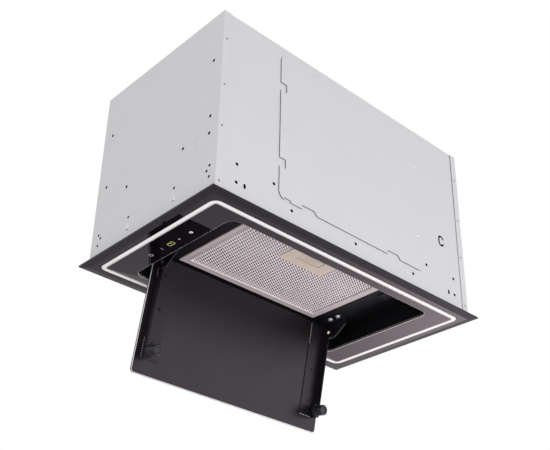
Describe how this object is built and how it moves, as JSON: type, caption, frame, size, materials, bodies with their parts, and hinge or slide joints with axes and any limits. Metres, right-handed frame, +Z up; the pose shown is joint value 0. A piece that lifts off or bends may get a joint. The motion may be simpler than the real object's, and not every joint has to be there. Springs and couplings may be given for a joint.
{
  "type": "built-in range hood",
  "caption": "Built-in range hood: sheet steel casing, lit black glass flange, drop-down suction panel, tilting grease filter, scroll blower and round duct collar.",
  "frame": {"origin": "centre of the cabinet cut-out, in the plane where the flange seats against the cabinet floor", "axes": "+X to the right seen from the front, +Y to the back wall, +Z up; the suction panel hangs open at rest"},
  "size_m": [0.56, 0.316, 0.5067],
  "materials": {
    "black_glass": "glossy, opaque black backing",
    "light_plastic": "milky satin, lit from behind",
    "circuit_board": "green solder mask",
    "black_steel": "semi-gloss black powder coat",
    "zinc_sheet": "plain zinc-coated sheet, matt",
    "bright_steel": "bright zinc plate",
    "motor_paint": "satin dark grey",
    "black_plastic": "fine matt",
    "contact_pads": "soft dark pads",
    "white_plastic": "smooth moulded",
    "pin_brass": "bright",
    "filter_aluminium": "bright, layered mesh",
    "beige_plastic": "smooth moulded"
  },
  "bodies": {
    "casing": {"outer_glass_frame": "black_glass", "inner_glass_frame": "black_glass", "light_diffuser": "light_plastic", "led_strip": "circuit_board", "carrier_frame": "black_steel", "cavity_tub": "black_steel", "left_side_panel": "zinc_sheet", "right_side_panel": "zinc_sheet", "front_panel": "zinc_sheet", "back_panel": "zinc_sheet", "top_panel": "zinc_sheet", "seam_rivets": "bright_steel", "side_screws": "bright_steel", "hole_plug": "bright_steel", "service_cover": "zinc_sheet", "service_cover_screws": "bright_steel", "control_housing": "black_plastic", "control_board": "circuit_board", "digit_display": "black_plastic", "touch_pads": "contact_pads", "hinge_bracket_left": "black_steel", "hinge_bracket_right": "black_steel", "hinge_bracket_screws": "bright_steel", "catch_keepers": "bright_steel", "filter_hook_clips": "bright_steel", "scroll_front_half": "zinc_sheet", "scroll_rear_half": "zinc_sheet", "inlet_ring_front": "white_plastic", "inlet_ring_rear": "white_plastic", "motor": "motor_paint", "motor_bracket": "black_steel", "outlet_adaptor": "white_plastic", "outlet_collar": "white_plastic", "damper_pins": "bright_steel", "electronics_tray": "black_plastic", "electronics_lid": "white_plastic", "power_board": "circuit_board", "terminal_block": "white_plastic", "motor_capacitor": "white_plastic", "cable_gland": "black_plastic"},
    "suction_panel": {"panel_glass": "black_glass", "panel_sheet": "black_steel", "arm_left": "black_steel", "arm_right": "black_steel", "arm_screws": "black_steel", "catch_knob_left": "black_plastic", "catch_knob_right": "black_plastic", "hinge_pins": "pin_brass"},
    "grease_filter": {"filter_frame": "filter_aluminium", "filter_mesh_lower": "filter_aluminium", "filter_mesh_upper": "filter_aluminium", "filter_catch_plate": "beige_plastic"},
    "filter_latch": {"filter_catch_slider": "black_plastic"},
    "fan_wheel": {"impeller_blades": "zinc_sheet", "impeller_disc": "zinc_sheet", "motor_shaft": "bright_steel"},
    "left_damper": {"damper_flap_left": "black_plastic"},
    "right_damper": {"damper_flap_right": "black_plastic"}
  },
  "joints": [
    {"name": "panel_hinge", "type": "hinge", "parent": "casing", "child": "suction_panel", "pos_m": [0, 0.078, 0.0125], "axis": [-1, 0, 0], "range_deg": [0, 101]},
    {"name": "filter_tilt", "type": "hinge", "parent": "casing", "child": "grease_filter", "pos_m": [0, 0.0883, 0.0358], "axis": [-1, 0, 0], "range_deg": [-55, 0]},
    {"name": "filter_latch_slide", "type": "slide", "parent": "grease_filter", "child": "filter_latch", "axis": [0, -1, 0], "range_m": [0, 0.0045]},
    {"name": "fan_spin", "type": "hinge", "parent": "casing", "child": "fan_wheel", "pos_m": [-0.0807, 0, 0.18271], "axis": [0, 1, 0], "continuous": true},
    {"name": "left_damper_hinge", "type": "hinge", "parent": "casing", "child": "left_damper", "pos_m": [-0.003, 0, 0.318], "axis": [0, 1, 0], "range_deg": [0, 80]},
    {"name": "right_damper_hinge", "type": "hinge", "parent": "casing", "child": "right_damper", "pos_m": [0.003, 0, 0.318], "axis": [0, -1, 0], "range_deg": [0, 80]}
  ]
}
